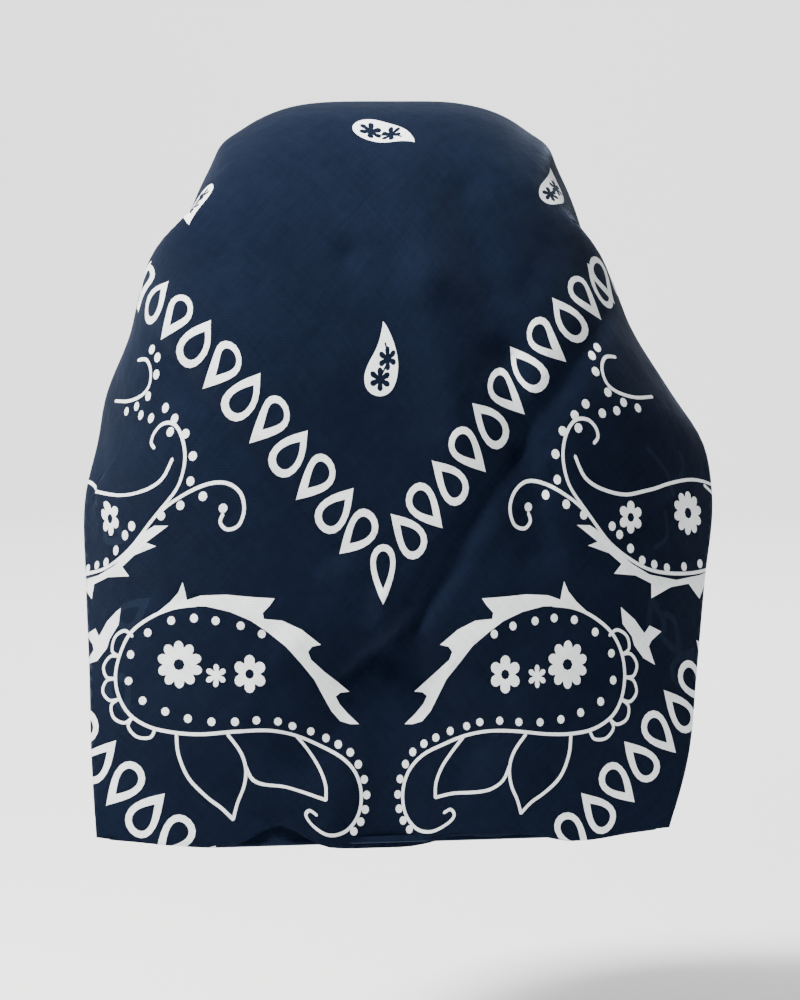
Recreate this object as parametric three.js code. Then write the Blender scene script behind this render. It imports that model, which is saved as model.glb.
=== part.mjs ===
// A cotton bandana worn on the head, seen here as the empty hollow form that it keeps: a square of cloth
// folded at the brow, drawn over the crown, tied at the nape, with the flap hanging over the tie and the
// near corner turned up behind the flap's lower edge. Millimetres, +Z up, the back of the head faces -Y.
import * as THREE from "three";
import { mergeVertices } from "three/addons/utils/BufferGeometryUtils.js";

// ---- driving dimensions -------------------------------------------------------------------------------
const WALL = 1.2; // cloth wall
const GAP = 0.4; // between two layers or at a seam
const LAYER = WALL + GAP; // pitch of two layers lying on each other
const SEAT = { y: -21, z: 252.8 }; // the crown's inside, where the head carries the cloth
const FOLD_HALF_WIDTH = 277; // half the width of the cloth at the brow fold
const TUCK_HEIGHT = 112; // the near corner's height behind the flap
const TUCK_INSET = 4; // from the side folds
const TUCK_SLACK = 1.3; // how loosely it lies against the flap
const STEPS_ALONG = 38, STEPS_ACROSS = 32;

// Sections of the outer stretch, from the brow over the crown to the bottom fold. Each lies in the plane
// through its centre (yc, zc) and its two ends (ye, ze), xl and xr to the sides; m and j round it.
const SECTIONS = [
  { yc: 94.0, zc: 178.0, xl: 76.5, xr: 76.5, ye: 14, ze: 130.0, m: 2.5, j: 2.5 }, // brow fold
  { yc: 76.5, zc: 210.5, xl: 77.0, xr: 77.0, ye: 7, ze: 129.3, m: 3.0, j: 2.6 },
  { yc: 38.5, zc: 241.0, xl: 77.0, xr: 77.0, ye: -3, ze: 128.4, m: 3.5, j: 2.6 },
  { yc: -21.0, zc: 254.6, xl: 77.0, xr: 77.0, ye: -14, ze: 127.6, m: 3.8, j: 2.6 }, // crown
  { yc: -46.0, zc: 248.5, xl: 77.5, xr: 77.0, ye: -20, ze: 138.0, m: 3.6, j: 2.6 },
  { yc: -60.5, zc: 237.5, xl: 79.0, xr: 77.0, ye: -24, ze: 162.0, m: 4.0, j: 2.1 },
  { yc: -72.0, zc: 223.0, xl: 83.0, xr: 78.0, ye: -28, ze: 191.0, m: 3.8, j: 1.8 }, // top of the side folds
  { yc: -81.4, zc: 205.5, xl: 89.0, xr: 88.0, ye: -32, ze: 171.0, m: 3.4, j: 1.4 },
  { yc: -88.7, zc: 184.0, xl: 96.5, xr: 100.5, ye: -36, ze: 153.0, m: 3.2, j: 1.2 },
  { yc: -92.5, zc: 162.0, xl: 99.5, xr: 111.5, ye: -41, ze: 136.0, m: 3.2, j: 1.05 },
  { yc: -93.3, zc: 140.0, xl: 103.5, xr: 114.5, ye: -46, ze: 118.0, m: 3.2, j: 1.0 }, // widest
  { yc: -93.0, zc: 105.0, xl: 103.0, xr: 111.5, ye: -53, ze: 88.0, m: 3.2, j: 1.0 },
  { yc: -91.0, zc: 70.0, xl: 101.5, xr: 108.5, ye: -60, ze: 58.0, m: 3.2, j: 1.0 },
  { yc: -88.0, zc: 35.0, xl: 100.5, xr: 105.5, ye: -67, ze: 30.0, m: 3.2, j: 1.0 },
  { yc: -84.0, zc: 0.0, xl: 98.5, xr: 98.5, ye: -74, ze: 2.5, m: 3.2, j: 1.0 }, // bottom fold
];
const CROWN_TOP = 6; // index of the section at the top of the side folds

// The largest folds of the back: troughs (depth above 0, into the hollow) and ridges (below 0) along
// straight lines from (x0, z0) to (x1, z1).
const FOLDS = [
  { x0: -82, z0: 178, x1: -17, z1: 102, width: 4.5, depth: 1.6 }, // left fold line
  { x0: 75, z0: 181, x1: 44, z1: 137, width: 4.5, depth: 1.6 }, // right fold line
  { x0: 44, z0: 137, x1: 2, z1: 66, width: 4.5, depth: 1.8 },
  { x0: 8, z0: 233, x1: 16, z1: 195, width: 9, depth: -1.6 }, // ridge right of the middle
  { x0: 16, z0: 195, x1: 25, z1: 143, width: 9, depth: -2.2 },
  { x0: 27, z0: 222, x1: 42, z1: 168, width: 7, depth: 1.6 }, // trough beside it
  { x0: 42, z0: 168, x1: 53, z1: 104, width: 7, depth: 1.8 },
  { x0: -4, z0: 66, x1: -28, z1: 30, width: 9, depth: 3.0 }, // hollow under the tie
  { x0: 8, z0: 66, x1: 30, z1: 36, width: 9, depth: 3.0 },
  { x0: 2, z0: 52, x1: 2, z1: 6, width: 17, depth: 4.5 },
];
// The bottom fold's waves: height at x, fading over the lowest part of the flap.
const WAVES = [
  { x: -35, width: 11, height: 8.0 },
  { x: 26, width: 12, height: 4.2 },
  { x: 48, width: 14, height: 4.6 },
  { x: 94, width: 26, height: 3.6 },
];
// The gathered end of the cloth from behind the ear to the nape, mirrored for the other side.
const TIE = [
  { x: 76.9, y: -0.2, z: 127.6, width: 27.5, thick: 1.6 },
  { x: 76.7, y: -7.0, z: 120.5, width: 24, thick: 2.4 },
  { x: 75.4, y: -20.0, z: 112.5, width: 21, thick: 3.6 },
  { x: 69.0, y: -38.0, z: 106.0, width: 19, thick: 4.8 },
  { x: 53.0, y: -57.0, z: 101.0, width: 17, thick: 5.8 },
  { x: 33.5, y: -69.0, z: 97.0, width: 14, thick: 7.0 },
  { x: 13.0, y: -75.0, z: 94.0, width: 12, thick: 8.0 },
];
const KNOT = { y: -76, z: 93, halfWidth: 11.6, halfDepth: 8.6, halfHeight: 10.5 };
// The tail of each end: a flattened, pleated strip that opens towards the cloth's corner.
const TAIL = [
  { x: 5, y: -76, z: 81.6, width: 9, thick: 4.0 },
  { x: 9, y: -75, z: 70, width: 15, thick: 3.4 },
  { x: 15, y: -74, z: 52, width: 24, thick: 2.6 },
  { x: 21, y: -73, z: 34, width: 27, thick: 2.2 },
  { x: 26, y: -72.5, z: 21, width: 14, thick: 2.0 },
  { x: 29, y: -72, z: 14, width: 4, thick: 1.8 },
];

// ---- helpers ------------------------------------------------------------------------------------------
function along(rows, keys) {
  // cumulative chord length of the rows' centre line
  const s = [0];
  for (let i = 1; i < rows.length; i++) {
    s.push(s[i - 1] + Math.hypot(...keys.map((k) => rows[i][k] - rows[i - 1][k])));
  }
  return s;
}
function sampler(rows, keys) {
  // a smooth row between the rows of a table, by chord length
  const s = along(rows, keys), names = Object.keys(rows[0]), n = rows.length;
  const slope = rows.map((row, i) => {
    const out = {};
    for (const k of names) {
      if (i === 0) out[k] = (rows[1][k] - row[k]) / (s[1] - s[0]);
      else if (i === n - 1) out[k] = (row[k] - rows[i - 1][k]) / (s[i] - s[i - 1]);
      else {
        const h0 = s[i] - s[i - 1], h1 = s[i + 1] - s[i];
        out[k] = (((row[k] - rows[i - 1][k]) / h0) * h1 + ((rows[i + 1][k] - row[k]) / h1) * h0) / (h0 + h1);
      }
    }
    return out;
  });
  const at = (d) => {
    const x = Math.min(Math.max(d, 0), s[n - 1]);
    let i = 0;
    while (i < n - 2 && x > s[i + 1]) i++;
    const h = s[i + 1] - s[i], u = (x - s[i]) / h, out = {};
    for (const k of names) {
      out[k] = (2 * u ** 3 - 3 * u * u + 1) * rows[i][k] + (u ** 3 - 2 * u * u + u) * h * slope[i][k]
        + (3 * u * u - 2 * u ** 3) * rows[i + 1][k] + (u ** 3 - u * u) * h * slope[i + 1][k];
    }
    return out;
  };
  return { at, s, total: s[n - 1] };
}
const outer = sampler(SECTIONS, ["yc", "zc"]);

function fromSegment(x, z, f) {
  const dx = f.x1 - f.x0, dz = f.z1 - f.z0, l2 = dx * dx + dz * dz;
  const t = ((x - f.x0) * dx + (z - f.z0) * dz) / l2, c = Math.min(Math.max(t, 0), 1);
  return Math.hypot(x - f.x0 - c * dx, z - f.z0 - c * dz);
}
function outerPoint(s, tau) {
  // a point of the outer stretch's middle surface: s along the centre line, tau from -1 to 1 across
  const c = outer.at(s), t = Math.abs(Math.sin((Math.PI / 2) * tau));
  const r = Math.max(0, 1 - t ** c.m) ** (1 / c.j);
  const p = new THREE.Vector3(Math.sign(tau) * (tau < 0 ? c.xl : c.xr) * t,
    c.ye + (c.yc - c.ye) * r, c.ze + (c.zc - c.ze) * r);
  if (s > outer.s[3]) {
    let depth = 0;
    for (const f of FOLDS) depth += f.depth * Math.exp(-((fromSegment(p.x, p.z, f) / f.width) ** 2));
    p.y += depth * (1 - t ** 6);
    const low = Math.max(0, 1 - (outer.total - s) / 60);
    for (const w of WAVES) p.z += w.height * low * low * Math.exp(-(((p.x - w.x) / w.width) ** 2));
  }
  return p;
}
function normalOf(mid, u, v, e = 0.004) {
  const c = (x) => Math.min(1, Math.max(0, x));
  const du = mid(c(u + e), v).sub(mid(c(u - e), v)), dv = mid(u, c(v + e)).sub(mid(u, c(v - e)));
  return du.cross(dv).normalize();
}
function solid(name, positions, triangles, colour) {
  let volume = 0;
  const a = new THREE.Vector3(), b = new THREE.Vector3(), c = new THREE.Vector3();
  for (const t of triangles) {
    a.fromArray(positions, t[0] * 3); b.fromArray(positions, t[1] * 3); c.fromArray(positions, t[2] * 3);
    volume += a.dot(b.cross(c)) / 6;
  }
  const index = volume < 0 ? triangles.flatMap((t) => [t[0], t[2], t[1]]) : triangles.flat();
  const geometry = new THREE.BufferGeometry();
  geometry.setAttribute("position", new THREE.Float32BufferAttribute(positions, 3));
  geometry.setIndex(index);
  const mesh = new THREE.Mesh(mergeVertices(geometry, 1e-4), new THREE.MeshStandardMaterial({
    color: colour, roughness: 0.92, metalness: 0,
  }));
  mesh.name = name;
  return mesh;
}
function wall(name, nu, nv, mid, colour, thick = WALL) {
  // a closed wall of even thickness around the middle surface mid(u, v), u and v from 0 to 1
  const positions = [], triangles = [], side = (nu + 1) * (nv + 1);
  for (const k of [0.5, -0.5]) {
    for (let i = 0; i <= nu; i++) {
      for (let j = 0; j <= nv; j++) {
        const p = mid(i / nu, j / nv).addScaledVector(normalOf(mid, i / nu, j / nv), k * thick);
        positions.push(p.x, p.y, p.z);
      }
    }
  }
  const id = (k, i, j) => k * side + i * (nv + 1) + j;
  const quad = (a, b, c, d) => triangles.push([a, b, c], [a, c, d]);
  for (let i = 0; i < nu; i++) {
    for (let j = 0; j < nv; j++) {
      quad(id(0, i, j), id(0, i + 1, j), id(0, i + 1, j + 1), id(0, i, j + 1));
      quad(id(1, i, j), id(1, i, j + 1), id(1, i + 1, j + 1), id(1, i + 1, j));
    }
    quad(id(0, i, 0), id(1, i, 0), id(1, i + 1, 0), id(0, i + 1, 0));
    quad(id(0, i, nv), id(0, i + 1, nv), id(1, i + 1, nv), id(1, i, nv));
  }
  for (let j = 0; j < nv; j++) {
    quad(id(0, 0, j), id(0, 0, j + 1), id(1, 0, j + 1), id(1, 0, j));
    quad(id(0, nu, j), id(1, nu, j), id(1, nu, j + 1), id(0, nu, j + 1));
  }
  return solid(name, positions, triangles, colour);
}
function band(name, rows, side, steps, round, colour, first = null) {
  // a swept, flattened strip: rows give its middle, width and thickness, side mirrors it; first is the
  // direction of its width where it begins
  const run = sampler(rows, ["x", "y", "z"]), positions = [], triangles = [];
  for (let i = 0; i <= steps; i++) {
    const d = (run.total * i) / steps, r = run.at(d), q = run.at(Math.min(d + 0.5, run.total)), o = run.at(Math.max(d - 0.5, 0));
    const tangent = new THREE.Vector3(q.x - o.x, q.y - o.y, q.z - o.z).normalize();
    const out = new THREE.Vector3(r.x / 80 ** 2, r.y / 77 ** 2, 0);
    out.addScaledVector(tangent, -out.dot(tangent)).normalize();
    const across = new THREE.Vector3().crossVectors(tangent, out);
    if (first) {
      const k = Math.min(1, d / 34), ease = k * k * (3 - 2 * k);
      across.lerpVectors(first, across, ease).normalize();
    }
    for (let k = 0; k < round; k++) {
      const g = (2 * Math.PI * k) / round, cg = Math.cos(g), sg = Math.sin(g);
      const p = new THREE.Vector3(r.x, r.y, r.z)
        .addScaledVector(across, (r.width / 2) * Math.sign(cg) * Math.abs(cg) ** 0.8)
        .addScaledVector(out, (r.thick / 2) * Math.sign(sg) * Math.abs(sg) ** 0.8);
      positions.push(p.x * side, p.y, p.z);
    }
  }
  const id = (i, k) => i * round + (k % round);
  for (let i = 0; i < steps; i++) {
    for (let k = 0; k < round; k++) {
      triangles.push([id(i, k), id(i, k + 1), id(i + 1, k + 1)], [id(i, k), id(i + 1, k + 1), id(i + 1, k)]);
    }
  }
  for (let k = 1; k < round - 1; k++) {
    triangles.push([id(0, 0), id(0, k + 1), id(0, k)], [id(steps, 0), id(steps, k), id(steps, k + 1)]);
  }
  return solid(name, positions, triangles, colour);
}

const NAVY = 0x1e2a3e, INSIDE = 0x27344a;
const group = new THREE.Group();

// ---- the outer stretch: brow, crown and back flap -------------------------------------------------------
group.add(wall("crown_and_flap", STEPS_ALONG, STEPS_ACROSS,
  (u, v) => outerPoint(u * outer.total, 2 * v - 1), NAVY));

// A layer that lies inside the outer stretch, deep by so much.
function inside(s, tau, deep) {
  const mid = (u, v) => outerPoint(u * outer.total, 2 * v - 1);
  const n = normalOf(mid, s / outer.total, (tau + 1) / 2);
  const p = outerPoint(s, tau), hub = new THREE.Vector3(0, 0, Math.min(p.z, 150));
  if (n.dot(hub.clone().sub(p)) < 0) n.negate();
  return p.addScaledVector(n, deep);
}

// ---- the far corner, turned under at the brow -------------------------------------------------------------
const UNDER_END = 262; // how far along the centre line it reaches
const UNDER_SLACK = 1.3; // how loosely it lies against the outer stretch
function reachOf(s, distance) {
  // the tau at which a section's half has this length
  let length = 0, last = outerPoint(s, 0);
  for (let k = 1; k <= 40; k++) {
    const p = outerPoint(s, k / 40), step = p.distanceTo(last);
    if (length + step > distance) return (k - 1 + (distance - length) / step) / 40;
    length += step; last = p;
  }
  return 1;
}
group.add(wall("under_layer", 18, 16, (u, v) => {
  const s = 3 + u * (UNDER_END - 3);
  const reach = Math.min(0.955, reachOf(s, FOLD_HALF_WIDTH - s));
  return inside(s, (2 * v - 1) * reach, LAYER + UNDER_SLACK);
}, INSIDE));

// ---- the near corner, turned up behind the bottom fold -----------------------------------------------------
group.add(wall("tucked_corner", 11, 12, (u, v) => {
  const half = 1 - u * 0.97, c = outer.at(outer.total);
  const x = (2 * v - 1) * half * (c.xl - TUCK_INSET);
  const s = outer.total - 1.5 - u * TUCK_HEIGHT, e = outer.at(s);
  const tau = (2 / Math.PI) * Math.asin(Math.max(-1, Math.min(1, x / (x < 0 ? e.xl : e.xr))));
  return inside(s, tau, LAYER + TUCK_SLACK + 1.6 * Math.sin(Math.PI * Math.min(1, u * 1.5)));
}, INSIDE));

// ---- the side folds: from the flap's edge back in to the tie -------------------------------------------------
const tieRun = sampler(TIE, ["x", "y", "z"]);
const FOLD_TOP = outer.s[CROWN_TOP], FOLD_END = outer.total - 9;
const FOLD_START = 46; // how far below the top the two layers part
const SEAM_STEP = new THREE.Vector3(-1.9, -2.0, 0); // the side fold laps just inside the crown's side edge
function sideFold(side) {
  return (u, v) => {
    // u runs down the fold, v from the fold's edge inwards
    const s = FOLD_TOP + FOLD_START + u * (FOLD_END - FOLD_TOP - FOLD_START);
    const a = inside(s, side * 0.975, LAYER + 0.15);
    const b = new THREE.Vector3();
    if (u < 0.3) {
      // beside the crown's lower side edge
      const k = u / 0.3, e = outerPoint(FOLD_TOP - 27 - k * 29, side);
      b.copy(e).add(SEAM_STEP.clone().multiply(new THREE.Vector3(side, 1, 1)));
    } else if (u < 0.72) {
      const k = (u - 0.3) / 0.42, r = tieRun.at(4 + k * (tieRun.total - 6));
      const out = new THREE.Vector3(r.x / 80 ** 2, r.y / 77 ** 2, 0).normalize();
      const ease = Math.min(1, k / 0.12);
      b.set(r.x, r.y, r.z).addScaledVector(out, r.thick / 2 + 0.6 + GAP + 1.4);
      b.x *= side;
      const e = outerPoint(FOLD_TOP - 56, side).add(SEAM_STEP.clone().multiply(new THREE.Vector3(side, 1, 1)));
      b.lerpVectors(e, b, ease * ease * (3 - 2 * ease));
    } else {
      // the hem, from the tie down to the bottom of the fold
      const k = (u - 0.72) / 0.28, r = tieRun.at(tieRun.total - 2);
      const out = new THREE.Vector3(r.x / 80 ** 2, r.y / 77 ** 2, 0).normalize();
      const knot = new THREE.Vector3(r.x, r.y, r.z).addScaledVector(out, r.thick / 2 + 0.6 + GAP + 1.4);
      knot.x *= side;
      const low = inside(FOLD_END, side * 0.9, LAYER + 0.15 + 1.2);
      b.lerpVectors(knot, low, k ** 0.85);
    }
    const p = a.clone().lerp(b, v);
    const belly = Math.sin(Math.PI * v) * Math.sin(Math.PI * Math.max(0, (u - 0.3) / 0.7));
    p.y += 2.5 * belly;
    return p;
  };
}
group.add(wall("side_fold_left", 16, 8, sideFold(-1), NAVY));
group.add(wall("side_fold_right", 16, 8, sideFold(1), NAVY));

// ---- the tie at the nape -------------------------------------------------------------------------------------
const EDGE = new THREE.Vector3(0, 1, 0.085).normalize(); // the crown's lower side edge
group.add(band("tie_left", TIE, -1, 14, 10, NAVY, EDGE));
group.add(band("tie_right", TIE, 1, 14, 10, NAVY, EDGE));
group.add(band("tail_left", TAIL, -1, 10, 10, NAVY));
group.add(band("tail_right", TAIL, 1, 10, 10, NAVY));
{
  // the knot: one rounded turn of cloth with the crossing turn raised on it
  const positions = [], triangles = [], across = 18, up = 10;
  const point = (i, k) => {
    const la = -Math.PI / 2 + (Math.PI * i) / up, lo = (2 * Math.PI * k) / across;
    const pow = (x, e) => Math.sign(x) * Math.abs(x) ** e;
    const raised = 1 + 0.07 * Math.cos(2 * (lo + la));
    return [KNOT.halfWidth * pow(Math.cos(la), 0.8) * pow(Math.cos(lo), 0.8),
      KNOT.y + KNOT.halfDepth * raised * pow(Math.cos(la), 0.8) * pow(Math.sin(lo), 0.8),
      KNOT.z + KNOT.halfHeight * pow(Math.sin(la), 0.8)];
  };
  positions.push(...point(0, 0));
  for (let i = 1; i < up; i++) for (let k = 0; k < across; k++) positions.push(...point(i, k));
  positions.push(...point(up, 0));
  const id = (i, k) => 1 + (i - 1) * across + (k % across), top = 1 + (up - 1) * across;
  for (let k = 0; k < across; k++) {
    triangles.push([0, id(1, k + 1), id(1, k)], [top, id(up - 1, k), id(up - 1, k + 1)]);
    for (let i = 1; i < up - 1; i++) {
      triangles.push([id(i, k), id(i, k + 1), id(i + 1, k + 1)], [id(i, k), id(i + 1, k + 1), id(i + 1, k)]);
    }
  }
  group.add(solid("knot", positions, triangles, NAVY));
}

// The origin is the seat inside the crown.
group.position.set(0, -SEAT.y, -SEAT.z);
export default group;
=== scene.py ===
import math
import bpy
import numpy as np
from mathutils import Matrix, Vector
from mathutils.geometry import delaunay_2d_cdt


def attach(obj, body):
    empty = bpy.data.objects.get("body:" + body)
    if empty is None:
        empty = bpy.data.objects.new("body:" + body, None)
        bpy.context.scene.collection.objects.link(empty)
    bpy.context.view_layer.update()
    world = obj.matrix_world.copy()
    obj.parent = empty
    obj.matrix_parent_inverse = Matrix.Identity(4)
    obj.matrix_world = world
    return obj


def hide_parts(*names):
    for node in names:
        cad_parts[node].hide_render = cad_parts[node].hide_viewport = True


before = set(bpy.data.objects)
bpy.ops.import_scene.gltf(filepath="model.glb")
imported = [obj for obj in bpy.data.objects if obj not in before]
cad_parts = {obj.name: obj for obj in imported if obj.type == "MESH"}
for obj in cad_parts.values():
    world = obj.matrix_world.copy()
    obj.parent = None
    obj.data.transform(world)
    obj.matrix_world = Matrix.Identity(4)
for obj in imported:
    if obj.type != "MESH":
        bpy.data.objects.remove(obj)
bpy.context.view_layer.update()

# ================================================================ sizes, millimetres
# Table coordinates: z above the bottom fold, back of the head towards -Y, as in the part's own source.
SEAT = np.array([0.0, -21.0, 252.8])   # the crown's inside, the CAD frame's origin
SIDE = 560.0                           # the square that was cut, hem to hem
CORNER = SIDE / math.sqrt(2)           # from its middle to a corner
BROW = -119.0                          # where the brow fold lies on the flat cloth, along the diagonal
BOTTOM = 280.0                         # where the bottom fold lies
CLOTH = 0.7                            # thickness shown
LAYER = 1.6
UNDER_SLACK, UNDER_END = 1.3, 262.0
TUCK_SLACK, TUCK_HEIGHT, TUCK_INSET = 1.3, 112.0, 4.0
GRID = 2.5           # spacing of the cloth's points

# Sections of the outer stretch, from the brow over the crown to the bottom fold
SECTIONS = np.array([
    # yc, zc, xl, xr, ye, ze, m, j
    [94.0, 178.0, 76.5, 76.5, 14, 130.0, 2.5, 2.5],
    [76.5, 210.5, 77.0, 77.0, 7, 129.3, 3.0, 2.6],
    [38.5, 241.0, 77.0, 77.0, -3, 128.4, 3.5, 2.6],
    [-21.0, 254.6, 77.0, 77.0, -14, 127.6, 3.8, 2.6],
    [-46.0, 248.5, 77.5, 77.0, -20, 138.0, 3.6, 2.6],
    [-60.5, 237.5, 79.0, 77.0, -24, 162.0, 4.0, 2.1],
    [-72.0, 223.0, 83.0, 78.0, -28, 191.0, 3.8, 1.8],
    [-81.4, 205.5, 89.0, 88.0, -32, 171.0, 3.4, 1.4],
    [-88.7, 184.0, 96.5, 100.5, -36, 153.0, 3.2, 1.2],
    [-92.5, 162.0, 99.5, 111.5, -41, 136.0, 3.2, 1.05],
    [-93.3, 140.0, 103.5, 114.5, -46, 118.0, 3.2, 1.0],
    [-93.0, 105.0, 103.0, 111.5, -53, 88.0, 3.2, 1.0],
    [-91.0, 70.0, 101.5, 108.5, -60, 58.0, 3.2, 1.0],
    [-88.0, 35.0, 100.5, 105.5, -67, 30.0, 3.2, 1.0],
    [-84.0, 0.0, 98.5, 98.5, -74, 2.5, 3.2, 1.0]])
CHORD = np.concatenate([[0], np.cumsum(np.hypot(np.diff(SECTIONS[:, 0]), np.diff(SECTIONS[:, 1])))])
TOTAL = CHORD[-1]
FOLD_TOP, FOLD_END, FOLD_START = CHORD[6], TOTAL - 9, 46.0

# The largest folds of the back, as in the part's source: troughs (depth above 0) and ridges along lines
FOLDS = np.array([
    # x0, z0, x1, z1, width, depth
    [-82, 178, -17, 102, 4.5, 1.6], [75, 181, 44, 137, 4.5, 1.6], [44, 137, 2, 66, 4.5, 1.8],
    [8, 233, 16, 195, 9, -1.6], [16, 195, 25, 143, 9, -2.2], [27, 222, 42, 168, 7, 1.6],
    [42, 168, 53, 104, 7, 1.8], [-4, 66, -28, 30, 9, 3.0], [8, 66, 30, 36, 9, 3.0], [2, 52, 2, 6, 17, 4.5]])
WAVES = np.array([
    # x, width, height of the bottom fold
    [-35, 11, 8.0], [26, 12, 4.2], [48, 14, 4.6], [94, 26, 3.6]])
# Finer creases of the back, in the same columns
CREASES = np.array([
    # x0, z0, x1, z1, width, depth
    [-13, 59, 12, 80, 2.2, 1.5], [-15, 65, 7, 84, 3.4, -0.5], [16, 84, 28, 100, 3.6, 0.5], [-80, 160, -40, 117, 2.2, 0.6], [-60, 143, -22, 97, 1.8, 0.7],
    [-36, 118, -6, 84, 2.0, 0.5], [66, 160, 50, 132, 2.0, 0.5], [58, 128, 30, 90, 2.2, 0.6],
    [22, 96, 6, 74, 2.0, 0.7], [-12, 202, -9, 196, 5.0, 1.3], [30, 238, 52, 224, 3.0, -0.6],
    [-60, 222, -38, 196, 6.0, 0.5], [-44, 236, -20, 214, 6.0, -0.5], [60, 216, 48, 190, 5.0, 0.5],
    [-92, 120, -70, 104, 5.0, 0.6], [-96, 90, -66, 84, 4.0, 0.5], [100, 118, 70, 100, 5.0, 0.6],
    [104, 92, 72, 86, 4.0, -0.5], [-88, 50, -60, 62, 5.0, 0.5], [92, 46, 66, 60, 4.5, 0.6],
    [-52, 20, -38, 2, 4.0, 0.9], [58, 24, 47, 4, 4.5, 0.8], [-14, 20, -20, 2, 4.0, -0.6],
    [26, 24, 24, 4, 3.5, 0.7], [-78, 14, -74, 2, 4.0, -0.5], [76, 16, 80, 2, 4.0, 0.5],
    [-30, 72, -48, 44, 5.0, -0.8], [34, 74, 50, 46, 5.0, -0.8], [0, 88, -2, 60, 3.0, -0.9],
    [-66, 86, -40, 72, 4.0, 0.4], [70, 82, 44, 70, 4.0, 0.4]])
# Creases of the crown and its hidden sides, on the flat cloth
CROWN_CREASES = np.array([
    # a0, b0, a1, b1, width, depth
    [20, -150, 90, -104, 5.0, 0.9], [-10, -160, 40, -118, 6.0, -0.8], [-60, -168, -6, -120, 5.0, 1.0],
    [-96, -160, -40, -104, 6.5, -0.9], [-112, -120, -70, -84, 5.0, 0.8], [-104, -60, -60, -40, 7.0, 0.7],
    [18, 152, 84, 108, 5.0, 0.8], [-14, 162, 36, 112, 6.0, -0.8], [-58, 166, -12, 126, 5.5, 1.0],
    [-98, 154, -46, 108, 6.0, -0.8], [-108, 112, -76, 76, 5.0, 0.9], [-100, 40, -58, 62, 7.0, -0.6],
    [-90, -12, -30, 6, 8.0, 0.6], [-40, 30, 14, 22, 8.0, -0.5], [-30, -52, 20, -36, 8.0, 0.5],
    [-6, 57, 66, 61, 5.0, -1.8], [-6, -55, 58, -53, 5.0, -1.5],
    [-116, 10, -92, 18, 4.0, 0.8], [-116, -30, -96, -22, 4.0, 0.7], [44, -92, 72, -80, 4.0, 0.5]])

# The gathered end from behind the ear to the nape, mirrored for the other side, the knot and the tails
TIE = np.array([
    # x, y, z, width, thick
    [76.9, -0.2, 127.6, 27.5, 1.6], [76.7, -7.0, 120.5, 24, 2.4], [75.4, -20.0, 112.5, 21, 3.6],
    [69.0, -38.0, 106.0, 19, 4.8], [53.0, -57.0, 101.0, 17, 5.8], [33.5, -69.0, 97.0, 14, 7.0],
    [13.0, -75.0, 94.0, 12, 8.0]])
KNOT = dict(y=-76.0, z=93.0, half_width=11.6, half_depth=8.6, half_height=10.5)
TAIL = np.array([
    # x, y, z, width, thick
    [5, -76, 81.6, 9, 4.0], [9, -75, 70, 15, 3.4], [15, -74, 52, 24, 2.6], [21, -73, 34, 27, 2.2],
    [26, -72.5, 21, 14, 2.0], [29, -72, 14, 4, 1.8]])

# ================================================================ the form
def hermite(s, knots, rows):
    """Rows of a table at s, smooth through every row."""
    s = np.asarray(s, float)
    h = np.diff(knots)
    d = np.diff(rows, axis=0) / h[:, None]
    slope = np.vstack([d[:1], (d[:-1] * h[1:, None] + d[1:] * h[:-1, None]) / (h[:-1] + h[1:])[:, None], d[-1:]])
    i = np.clip(np.searchsorted(knots, s, side="right") - 1, 0, len(knots) - 2)
    u = ((np.clip(s, knots[0], knots[-1]) - knots[i]) / h[i])[..., None]
    hh = h[i][..., None]
    out = ((2 * u**3 - 3 * u**2 + 1) * rows[i] + (u**3 - 2 * u**2 + u) * hh * slope[i]
           + (3 * u**2 - 2 * u**3) * rows[i + 1] + (u**3 - u**2) * hh * slope[i + 1])
    return out + np.minimum(0, s - knots[0])[..., None] * slope[0] + np.maximum(0, s - knots[-1])[..., None] * slope[-1]


def section(s, tau):
    yc, zc, xl, xr, ye, ze, m, j = np.moveaxis(hermite(s, CHORD, SECTIONS), -1, 0)
    t = np.abs(np.sin(np.pi / 2 * tau))
    r = np.maximum(0, 1 - t**m) ** (1 / j)
    return np.stack([np.sign(tau) * np.where(tau < 0, xl, xr) * t, ye + (yc - ye) * r, ze + (zc - ze) * r], -1)


# the form by its centre line's length s and by the share q of a section's half length, run on past its edges
DS, DQ = 3.0, 0.02
S_GRID = np.arange(-24.0, TOTAL + 30.1, DS)
Q_GRID = np.arange(-110, 111) * DQ


def tabulate():
    th = np.linspace(0, 1, 400)
    out = np.zeros((len(S_GRID), len(Q_GRID), 3))
    half = np.zeros((len(S_GRID), 2))
    for i, s in enumerate(S_GRID):
        for side in (-1, 1):
            p = section(np.full(th.shape, s), side * th)
            run = np.concatenate([[0], np.cumsum(np.linalg.norm(np.diff(p, axis=0), axis=1))])
            half[i, (side + 1) // 2] = run[-1]
            k = np.nonzero(Q_GRID * side >= -1e-9)[0]
            q = np.abs(Q_GRID[k])
            w = np.stack([np.interp(np.minimum(q, 1) * run[-1], run, p[:, c]) for c in range(3)], -1)
            end = (p[-1] - p[-12]) / (run[-1] - run[-12])
            out[i, k] = w + np.maximum(0, q - 1)[:, None] * run[-1] * end
    return out, half


FORM, HALF = tabulate()


def half_at(s, q):
    return np.where(q < 0, np.interp(s, S_GRID, HALF[:, 0]), np.interp(s, S_GRID, HALF[:, 1]))


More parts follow.
